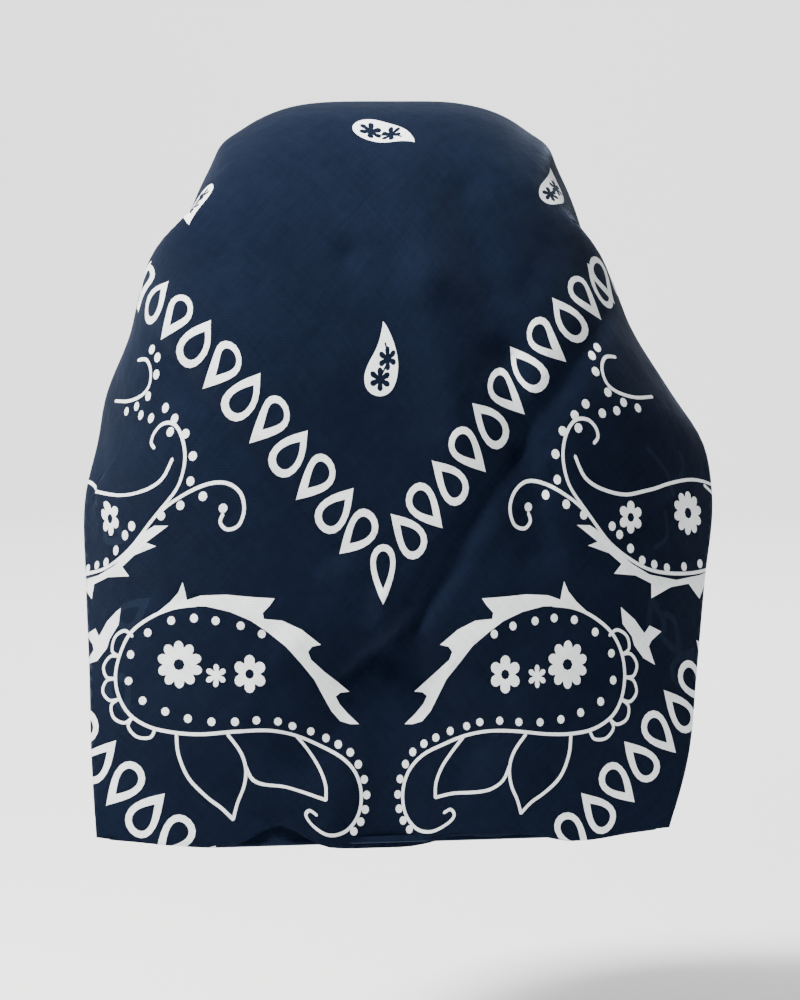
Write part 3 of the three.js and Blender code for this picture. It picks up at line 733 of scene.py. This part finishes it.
def shell(name, flat, faces, ink, place, nodes, thick=CLOTH, flip=False, e=0.6, move=None):
    """A thin closed shell on the surface place(a, b), print on its outer face and paler on its reverse."""
    a, b = flat[:, 0], flat[:, 1]
    p = place(a, b)
    n = np.cross(place(a + e, b) - place(a - e, b), place(a, b + e) - place(a, b - e))
    run = np.linalg.norm(n, axis=1)
    n = n / np.maximum(run, 1e-9)[:, None]
    if flip:
        n = -n
    count = len(p)
    points = np.vstack([p + n * thick / 2, p - n * thick / 2])
    out, kinds, edge = [], [], {}
    for f, k in zip(faces, ink):
        x, y, z = points[f[0]], points[f[1]], points[f[2]]
        if np.dot(np.cross(y - x, z - x), n[f[0]] + n[f[1]] + n[f[2]]) < 0:
            f = (f[0], f[2], f[1])
        out.append(tuple(f))
        kinds.append(k)
        for i in range(3):
            edge[(f[i], f[(i + 1) % 3])] = k
    top = len(out)
    for f, k in zip(out[:top], ink):
        out.append((f[2] + count, f[1] + count, f[0] + count))
        kinds.append({0: 3, 1: 4, 2: 3}[k])
    for (i, j) in edge:
        if (j, i) not in edge:
            out.append((j, i, i + count, j + count))
            kinds.append(3)
    return finish_mesh(name, points, out, kinds, np.vstack([flat, flat]), nodes)


CUTS = []   # each printed sheet's own flat outline: (across, along) in metres, and its area in square metres


def printed(domain, shapes, spacing=GRID):
    """Triangles of the flat domain, split along the print's outlines, with the ink of each."""
    def turned_left(p):
        x, y = p[:, 0], p[:, 1]
        return p if (x * np.roll(y, -1) - y * np.roll(x, -1)).sum() > 0 else p[::-1]
    domain = turned_left(np.asarray(domain, float))
    x, y = domain.T
    CUTS.append(((round(float(np.ptp(y)) / 1000, 3), round(float(np.ptp(x)) / 1000, 3)),
                 float(abs(np.sum(x * np.roll(y, -1) - np.roll(x, -1) * y))) / 2e6))
    lo, hi = domain.min(0), domain.max(0)
    points, outlines = [tuple(p) for p in domain], [list(range(len(domain)))]
    inks = [0]
    for p, ink in shapes:
        l, h = p.min(0), p.max(0)
        if (h < lo).any() or (l > hi).any():
            continue
        outlines.append(list(range(len(points), len(points) + len(p))))
        points += [tuple(x) for x in turned_left(p)]
        inks.append(ink)
    rows = np.arange(lo[0] + spacing / 2, hi[0], spacing * 0.866)
    for i, x in enumerate(rows):
        for y in np.arange(lo[1] + (i % 2) * spacing / 2, hi[1], spacing):
            points.append((x, y))
    verts, _, faces, _, _, origin = delaunay_2d_cdt([Vector(p) for p in points], [], outlines, 0, 1e-5, True)
    flat = np.array([tuple(v) for v in verts])
    kept, kinds = [], []
    for f, o in zip(faces, origin):
        if 0 in o:
            top = max(o)
            kept.append(tuple(f))
            kinds.append(inks[top])
    used = np.unique(np.array(kept).ravel())
    new = -np.ones(len(flat), int)
    new[used] = np.arange(len(used))
    return flat[used], [tuple(new[list(f)]) for f in kept], kinds


# ---- the outer stretch
def crown():
    n = 90
    s = np.linspace(0.0, TOTAL, n)
    right = flat_of(s, np.full(n, 0.9985))
    left = flat_of(s, np.full(n, -0.9985))
    q = np.linspace(-0.9985, 0.9985, 50)[1:-1]
    bottom = flat_of(np.full(len(q), TOTAL), -q)
    top = flat_of(np.zeros(len(q)), q)
    domain = np.vstack([right, bottom, left[::-1], top])
    flat, faces, ink = printed(domain, ghosts() + PRINT)
    return shell("cloth_crown_and_flap", flat, faces, ink, on_crown, ["crown_and_flap"]), right, left


CROWN, RIGHT_EDGE, LEFT_EDGE = crown()


def roundly(h, reach, depth):
    """How deep a turned layer lies, h past its fold."""
    u = np.clip(h / reach, 0, 1)
    return depth * np.sqrt(np.maximum(0, 1 - (1 - u) ** 2))


# ---- the far corner, turned under at the brow
def on_under(a, b):
    h = BROW - a
    s = np.clip(h, 0, TOTAL)
    q = b / half_at(s, b)
    p = inside(s, q, roundly(h, 6, LAYER + UNDER_SLACK) + 0.5 * np.sin(h / 17 + b / 29) * np.clip(h / 30, 0, 1))
    return p


def under():
    h = np.linspace(0, UNDER_END - 3, 50)
    reach = [np.minimum(CORNER + BROW - h, 0.955 * half_at(h, np.full(50, k))) for k in (-1.0, 1.0)]
    domain = np.vstack([np.stack([BROW - h, reach[1]], 1), np.stack([BROW - h, -reach[0]], 1)[::-1]])
    flat, faces, ink = printed(domain, PRINT, GRID * 1.3)
    return shell("cloth_under_layer", flat, faces, ink, on_under, ["under_layer"])


UNDER = under()


# ---- the near corner, tucked up behind the bottom fold
def on_tuck(a, b):
    h = a - BOTTOM
    s = TOTAL - h * TUCK_HEIGHT / (CORNER - BOTTOM)
    x = b * (98.5 - TUCK_INSET) / (CORNER - BOTTOM)
    q = x / half_at(s, b)
    deep = roundly(h, 6, LAYER + TUCK_SLACK) + 1.6 * np.sin(np.pi * np.clip(h / (CORNER - BOTTOM) * 1.5, 0, 1))
    return inside(s, q, deep + 0.7 * np.sin(h / 11 + b / 15) * np.clip(h / 20, 0, 1))


def tuck():
    w = CORNER - BOTTOM
    h = np.linspace(0, w - 1.5, 24)
    domain = np.vstack([np.stack([BOTTOM + h, w - h], 1), np.stack([BOTTOM + h, h - w], 1)[::-1]])
    flat, faces, ink = printed(domain, PRINT, GRID * 1.3)
    return shell("cloth_tucked_corner", flat, faces, ink, on_tuck, ["tucked_corner"], flip=True)


TUCK = tuck()

# ---- the side folds
TIE_RUN = np.concatenate([[0], np.cumsum(np.linalg.norm(np.diff(TIE[:, :3], axis=0), axis=1))])


FOLD_RUN = FOLD_END - FOLD_TOP - FOLD_START   # the fold's length where the part has it as its own solid
FOLD_LEAD = FOLD_START - 5.0                  # and above that, up to where the cloth starts to turn under


def side_rows(side, n=72):
    """The fold's outer and inner boundary, row by row; u is 0 where the part's solid starts and 1 at its end."""
    u = np.linspace(-FOLD_LEAD / FOLD_RUN, 1, n)
    s = FOLD_TOP + FOLD_START + u * FOLD_RUN
    a = inside(s, np.full(n, side * 0.996), LAYER + 0.15)
    step = np.array([-1.9 * side, -2.0, 0])
    def tie_side(run):
        r = hermite(run, TIE_RUN, TIE)
        out = np.stack([r[:, 0] / 80**2, r[:, 1] / 77**2, 0 * r[:, 0]], 1)
        out /= np.linalg.norm(out, axis=1)[:, None]
        p = r[:, :3] + out * (r[:, 4:5] / 2 + 2.4)
        return p * [side, 1, 1]
    back_to = np.where(u < 0, 27 * (s - FOLD_TOP) / FOLD_START, 27 + np.clip(u / 0.3, 0, 1) * 29)
    seam = outer(FOLD_TOP - back_to, np.full(n, float(side)), False) + step * np.clip((s - FOLD_TOP) / FOLD_START, 0, 1)[:, None]
    k = np.clip((u - 0.3) / 0.42, 0, 1)
    ease = np.minimum(1, k / 0.12)[:, None]
    tied = seam + (tie_side(4 + k * (TIE_RUN[-1] - 6)) - seam) * ease**2 * (3 - 2 * ease)
    knot = tie_side(np.array([TIE_RUN[-1] - 2]))
    low = inside(np.array([FOLD_END]), np.array([side * 0.9]), LAYER + 1.35)
    hem = knot + (low - knot) * (np.clip((u - 0.72) / 0.28, 0, 1) ** 0.85)[:, None]
    b = np.where((u < 0.3)[:, None], seam, np.where((u < 0.72)[:, None], tied, hem))
    edge = outer(s, np.full(n, side * 0.9985), False)
    return u, s, a, b, edge


def side_fold(side):
    u, s, A, B, EDGE = side_rows(side)
    width = np.linalg.norm(B - A, axis=1)
    down = s - s[0]
    top = -u[0] * FOLD_RUN          # flat coordinates here: along the fold from its top, and in from the fold
    def place(x, y):
        def at(rows):
            return np.stack([np.interp(x, down, rows[:, c]) for c in range(3)], -1)
        k = np.interp(x, down, u)
        w = np.interp(x, down, width)
        v = np.clip(y / w, 0, 1.02)
        belly = np.sin(np.pi * np.clip(v, 0, 1)) * np.sin(np.pi * np.maximum(0, (k - 0.3) / 0.7))
        p = at(A) + (at(B) - at(A)) * v[:, None]
        p[:, 1] += 2.5 * belly
        # gathers that run in to the tie
        fan = np.sin(k * 34 + 3.0 * side) * 1.1 * np.clip((v - 0.25) / 0.75, 0, 1) ** 1.5 * np.clip(1 - abs(k - 0.52) / 0.3, 0, 1)
        p[:, 1] += fan
        lap = roundly(y, 4.0, 1.0)[:, None]
        return at(EDGE) * (1 - lap) + p * lap
    domain = np.vstack([np.stack([down, 0 * down], 1), np.stack([down, width], 1)[::-1]])
    shapes = []
    for i, x in enumerate(np.arange(6, 400, 12.07)):
        hx = FOLD_RUN * 0.72 + x * 0.48
        y = np.interp(hx / FOLD_RUN, u, width)
        if hx < FOLD_RUN * 0.98 and y > 34:
            shapes += drop_ring((top + hx - 14, y - 27), 1.05 + (math.pi if i % 2 else 0))
    for i in range(7):
        shapes += drop_ring((top + FOLD_RUN * 0.30 + 13 * i, 12 + 3.6 * i), 1.9 + (math.pi if i % 2 else 0))
    for i in range(8):
        shapes.append((disc((top + FOLD_RUN * 0.42 + 6.5 * i, 34 + 14 * math.sin(i * 0.42)), 1.5, 9), 1))
    shapes.append((stroke([[top + FOLD_RUN * x, y] for x, y in ((0.44, 44), (0.5, 52), (0.58, 54), (0.64, 46), (0.63, 36), (0.57, 34))], 1.2), 1))
    flat, faces, ink = printed(domain, shapes, GRID * 1.2)
    name = "left" if side < 0 else "right"
    return shell("cloth_side_fold_" + name, flat, faces, ink, place, ["side_fold_" + name], flip=side < 0)


SIDE_LEFT, SIDE_RIGHT = side_fold(-1), side_fold(1)


# ---- gathered ends, knot and tails
def tube(name, rows, side, nodes, steps, first=None, pleats=7, depth=0.16, phase=0.0, flat_end=False):
    """A gathered strip: a thin-walled flattened tube with pleats along it."""
    run = np.concatenate([[0], np.cumsum(np.linalg.norm(np.diff(rows[:, :3], axis=0), axis=1))])
    d = np.linspace(0, run[-1], steps)
    r = hermite(d, run, rows)
    t = np.gradient(r[:, :3], axis=0)
    t /= np.linalg.norm(t, axis=1)[:, None]
    out = np.stack([r[:, 0] / 80**2, r[:, 1] / 77**2, 0 * d], 1)
    out -= (out * t).sum(1)[:, None] * t
    out /= np.linalg.norm(out, axis=1)[:, None]
    across = np.cross(t, out)
    if first is not None:
        k = np.minimum(1, d / 34)[:, None]
        ease = k * k * (3 - 2 * k)
        across = np.array(first) * (1 - ease) + across * ease
        across /= np.linalg.norm(across, axis=1)[:, None]
    around = 72
    g = 2 * np.pi * np.arange(around) / around
    rings = []
    for wall in (0.0, CLOTH):
        c, s = np.cos(g), np.sin(g)
        cx = np.sign(c) * np.abs(c) ** 0.8
        sx = np.sign(s) * np.abs(s) ** 0.8
        ease = np.clip(d / 20, 0.25, 1)[:, None]
        groove = np.sin(cx * pleats * 2.1 + phase + 0.5 * np.sin(d / 19)[:, None]) * ease
        hw = np.maximum(r[:, 3:4] / 2 - wall, 0.3) * (1 + 0 * g)
        ht = np.maximum(r[:, 4:5] / 2 - wall, 0.15) * (1 + depth * groove * 1.6) + 0.25 * groove
        ht = np.maximum(ht, 0.1)
        p = r[:, None, :3] + across[:, None] * (hw * cx)[..., None] + out[:, None] * (ht * sx)[..., None]
        p[..., 0] *= side
        rings.append(p.reshape(-1, 3))
    points = np.vstack(rings)
    count = steps * around
    faces, kinds = [], []
    def i_of(i, k, wall):
        return wall * count + i * around + k % around
    rng = np.random.RandomState(5 if side < 0 else 9)
    spots = [(rng.uniform(0, steps), rng.uniform(0, around), rng.uniform(1.2, 3.0), rng.uniform(2, 5)) for _ in range(9)]
    for i in range(steps - 1):
        for k in range(around):
            f = (i_of(i, k, 0), i_of(i, k + 1, 0), i_of(i + 1, k + 1, 0), i_of(i + 1, k, 0))
            g_ = (i_of(i, k, 1), i_of(i + 1, k, 1), i_of(i + 1, k + 1, 1), i_of(i, k + 1, 1))
            if side > 0:
                f, g_ = f[::-1], g_[::-1]
            # broken arcs of print, as gathers leave them
            ink = 0
            for x, y, w, h in spots:
                dy = abs((k - y + around / 2) % around - around / 2)
                ring = math.hypot((i - x) / w, dy / h)
                if 0.62 < ring < 1.0:
                    ink = 1
            faces += [f, g_]
            kinds += [ink, 3]
    for k in range(around):
        for i in (0, steps - 1):
            f = (i_of(i, k, 0), i_of(i, k, 1), i_of(i, k + 1, 1), i_of(i, k + 1, 0))
            faces.append(f)
            kinds.append(3)
    uv = np.stack([np.repeat(d, around), np.tile(np.arange(around) * 1.0, steps)], 1)
    o = finish_mesh(name, points, faces, kinds, np.vstack([uv, uv]), nodes)
    ring = rings[0].reshape(steps, around, 3)
    round_ = np.linalg.norm(np.roll(ring, -1, 1) - ring, axis=2).sum(1)
    return o, (float(round_.max()) / 1000, float(run[-1]) / 1000), float(((round_[1:] + round_[:-1]) / 2 * np.diff(d)).sum()) / 1e6


EDGE_DIRECTION = [0, 0.9964, 0.0847]
TUBES = [
    tube("cloth_tie_left", TIE, -1, ["tie_left"], 60, EDGE_DIRECTION, phase=0.6),
    tube("cloth_tie_right", TIE, 1, ["tie_right"], 60, EDGE_DIRECTION, phase=2.1),
    tube("cloth_tail_left", TAIL, -1, ["tail_left"], 36, pleats=4, phase=0.3, depth=0.2),
    tube("cloth_tail_right", TAIL, 1, ["tail_right"], 36, pleats=4, phase=1.4, depth=0.2)]


def knot():
    up, across = 40, 72
    rings = []
    for wall in (0.0, CLOTH):
        la = -math.pi / 2 + math.pi * (0.02 + 0.96 * np.arange(up) / (up - 1))[:, None]
        lo = (2 * math.pi * np.arange(across) / across)[None]
        def power(x, e):
            return np.sign(x) * np.abs(x) ** e
        raised = 1 + 0.07 * np.cos(2 * (lo + la)) + 0.035 * np.sin(9 * la + 3 * lo) + 0.02 * np.sin(5 * lo - 11 * la)
        x = (KNOT["half_width"] - wall) * power(np.cos(la), 0.8) * power(np.cos(lo), 0.8) * (0.5 + 0.5 * raised)
        y = KNOT["y"] + (KNOT["half_depth"] - wall) * raised * power(np.cos(la), 0.8) * power(np.sin(lo), 0.8)
        z = KNOT["z"] + (KNOT["half_height"] - wall) * power(np.sin(la), 0.8) * (1 + 0 * lo)
        rings.append(np.stack([x, y, z], -1).reshape(-1, 3))
    count = up * across
    faces, kinds = [], []
    for i in range(up - 1):
        for k in range(across):
            a, b, c, d = i * across + k, i * across + (k + 1) % across, (i + 1) * across + (k + 1) % across, (i + 1) * across + k
            band = (k * 2 + i * 1.2) % 48
            ink = 1 if 10 < band < 13 and 8 < i < 30 else 0
            faces += [(a, b, c, d), (a + count, d + count, c + count, b + count)]
            kinds += [ink, 3]
    for k in range(across):
        for i in (0, up - 1):
            a, b = i * across + k, i * across + (k + 1) % across
            faces.append((a, a + count, b + count, b))
            kinds.append(3)
    uv = np.stack([np.repeat(np.arange(up) * 0.8, across), np.tile(np.arange(across) * 0.9, up)], 1)
    return finish_mesh("cloth_knot", np.vstack(rings), faces, kinds, np.vstack([uv, uv]), ["knot"])


KNOT_PIECE = knot()


# ---- hems: a narrow turned edge with a row of stitches, along the square's own edges
def hem(name, line, inner, sides):
    """line: the cloth's edge, inner: points 4.2 mm inside it, both in table coordinates, row by row."""
    line, inner = np.asarray(line), np.asarray(inner)
    n = len(line)
    face = np.cross(np.gradient(line, axis=0), inner - line)
    face /= np.maximum(np.linalg.norm(face, axis=1), 1e-9)[:, None]
    profile = [(-0.02, 0.0), (0.0, 0.75), (0.12, 0.95), (0.86, 0.95), (1.0, 0.7), (1.02, 0.0), (1.0, -0.7), (0.86, -0.95), (0.12, -0.95), (0.0, -0.75)]
    m = len(profile)
    points = np.vstack([(line[i] + (inner[i] - line[i]) * u + face[i] * v) for i in range(n) for u, v in profile]).reshape(-1, 3)
    faces = [(i * m + k, i * m + (k + 1) % m, (i + 1) * m + (k + 1) % m, (i + 1) * m + k) for i in range(n - 1) for k in range(m)]
    faces += [tuple(range(m))[::-1], tuple((n - 1) * m + k for k in range(m))]
    run = np.concatenate([[0], np.cumsum(np.linalg.norm(np.diff(line, axis=0), axis=1))])
    uv = np.array([(run[i], 5.0 * u) for i in range(n) for u, v in profile])
    o = finish_mesh(name, points, faces, [0] * len(faces), uv, [])
    # stitches, both faces
    sp, sf = [], []
    for d in np.arange(1.5, run[-1] - 2.5, 3.0):
        def at(x, rows):
            return np.array([np.interp(x, run, rows[:, c]) for c in range(3)])
        for k in (-1, 1):
            base = len(sp)
            for x in (d, d + 2.1):
                c = at(x, line) * 0.16 + at(x, inner) * 0.84
                f, w = at(x, face), at(x, inner) - at(x, line)
                w = w / max(np.linalg.norm(w), 1e-9)
                low = 0.9 if x == d else 0.9
                for dw, df in ((-0.2, low), (-0.14, low + 0.22), (0.14, low + 0.22), (0.2, low)):
                    sp.append(c + w * dw + f * df * k)
            for q in range(3):
                sf.append((base + q, base + q + 1, base + 5 + q, base + 4 + q))
            sf += [(base, base + 3, base + 2, base + 1), (base + 4, base + 5, base + 6, base + 7)]
    if sp:
        mesh = bpy.data.meshes.new(name + "_stitches")
        mesh.from_pydata([tuple(p) for p in to_cad(np.array(sp))], [], sf)
        mesh.materials.append(THREAD)
        uvl = mesh.uv_layers.new(name="flat")
        s = bpy.data.objects.new(name + "_stitches", mesh)
        bpy.context.scene.collection.objects.link(s)
        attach(s, "root")
        return [o, s]
    return [o]


def tuck_hem(side):
    w = CORNER - BOTTOM
    h = np.linspace(4, w - 3, 50)
    line = on_tuck(BOTTOM + h, side * (w - h))
    inner = on_tuck(BOTTOM + h - 3.0, side * (w - h - 3.0))
    return hem("hem_tucked_" + ("left" if side < 0 else "right"), line, inner, side)


def under_hem(side):
    w = CORNER + BROW
    h = np.linspace(4, UNDER_END - 6, 90)
    ok = (w - h) < 0.955 * half_at(h, np.full(len(h), float(side))) - 3
    h = h[ok]
    line = on_under(BROW - h, side * (w - h))
    inner = on_under(BROW - h + 3.0, side * (w - h - 3.0))
    return hem("hem_under_" + ("left" if side < 0 else "right"), line, inner, side)


def side_hem(side):
    u, s, A, B, EDGE = side_rows(side)
    keep = u >= 0.725
    line, toward = B[keep], A[keep]
    d = toward - line
    inner = line + d / np.linalg.norm(d, axis=1)[:, None] * 4.2
    return hem("hem_side_fold_" + ("left" if side < 0 else "right"), line, inner, side)


HEMS = {"tuck": tuck_hem(-1) + tuck_hem(1), "under": under_hem(-1) + under_hem(1),
        "left": side_hem(-1), "right": side_hem(1)}


# ================================================================ each sheet's area against its flat cut, and its triangles
def open_area(o):
    """Half the surface of a closed shell, square metres."""
    return sum(p.area for p in o.data.polygons) / 2


def say(o, flat, held, area=None, **more):
    a = open_area(o)
    full = flat[0] * flat[1]
    print("SHEET", o.name, "area/flat", round(a / (area or full), 3), "triangles", sum(len(p.vertices) - 2 for p in o.data.polygons))


# the first three outlines lie on the square itself; the side folds' are measured over the fold, row by row
say(CROWN, CUTS[0][0], "draped", area=CUTS[0][1])
say(UNDER, CUTS[1][0], "folded", area=CUTS[1][1], rests_on=["cloth_crown_and_flap"], with_pieces=HEMS["under"])
say(TUCK, CUTS[2][0], "folded", area=CUTS[2][1], rests_on=["cloth_crown_and_flap"], with_pieces=HEMS["tuck"])
for o, side, cut in ((SIDE_LEFT, "left", CUTS[3]), (SIDE_RIGHT, "right", CUTS[4])):
    say(o, cut[0], "folded", area=cut[1], rests_on=["cloth_crown_and_flap"], with_pieces=HEMS[side])
for o, size, area in TUBES:
    say(o, (round(size[0], 3), round(size[1], 3)), "gathered", area=area, rests_on=["cloth_knot"])
say(KNOT_PIECE, (0.040, 0.034), "gathered", rests_on=["cloth_tie_left", "cloth_tie_right"])

# ================================================================ floor, light, camera
def plain(name, colour):
    m = bpy.data.materials.new(name)
    m.use_nodes = True
    m.node_tree.nodes["Principled BSDF"].inputs["Base Color"].default_value = (*colour, 1)
    m.node_tree.nodes["Principled BSDF"].inputs["Roughness"].default_value = 0.9
    return m


floor = bpy.data.meshes.new("floor")
profile = [(-3.4, 6.0)] + [(s * (2.2 + 1.2 * math.sin(g)), 0.84 - 1.2 * math.cos(g)) for s, g in
                           [(-1, g) for g in np.linspace(math.pi / 2, 0.1, 14)] + [(1, g) for g in np.linspace(0.1, math.pi / 2, 14)]] + [(3.4, 6.0)]
floor.from_pydata([(x, y, z) for y, z in profile for x in (-7, 7)], [],
                  [(2 * i, 2 * i + 1, 2 * i + 3, 2 * i + 2) for i in range(len(profile) - 1)])
floor.polygons.foreach_set("use_smooth", [True] * len(floor.polygons))
floor.materials.append(plain("floor_pale", (0.93, 0.93, 0.93)))
FLOOR = bpy.data.objects.new("floor", floor)
bpy.context.scene.collection.objects.link(FLOOR)


def area_light(name, at, size, power, colour=(1, 1, 1), aim=(0.0, -0.03, -0.12)):
    data = bpy.data.lights.new(name, "AREA")
    data.shape = "RECTANGLE"
    data.size, data.size_y = size
    data.energy = power
    data.color = colour
    o = bpy.data.objects.new(name, data)
    o.location = at
    o.rotation_euler = (Vector(aim) - Vector(at)).to_track_quat("-Z", "Y").to_euler()
    bpy.context.scene.collection.objects.link(o)
    return o


area_light("key", (-0.44, -0.30, 0.74), (0.22, 0.22), 47.0, (1.0, 0.99, 0.97))
area_light("fill", (1.2, -1.0, 0.35), (1.2, 1.2), 7.0, (0.95, 0.97, 1.0))
area_light("backdrop", (0.0, 0.9, 1.5), (2.4, 0.8), 130.0, aim=(0.0, 3.2, 0.1))
world = bpy.data.worlds.new("studio")
bpy.context.scene.world = world
world.use_nodes = True
world.node_tree.nodes["Background"].inputs["Color"].default_value = (0.93, 0.94, 0.95, 1)
world.node_tree.nodes["Background"].inputs["Strength"].default_value = 0.19

AIM = Vector((0.0059, -0.039, -0.1351))
DISTANCE, HEIGHT = 1.3, 0.3448           # camera distance and the height it takes in there
camera = bpy.data.cameras.new("camera")
camera.sensor_width = 36.0
camera.lens = 36.0 * DISTANCE / HEIGHT
camera.clip_start, camera.clip_end = 0.05, 50
CAMERA = bpy.data.objects.new("camera", camera)
back = Vector((0, -math.cos(TILT), math.sin(TILT)))
CAMERA.location = AIM + back * DISTANCE
CAMERA.rotation_euler = (-back).to_track_quat("-Z", "Y").to_euler()
bpy.context.scene.collection.objects.link(CAMERA)
bpy.context.scene.camera = CAMERA
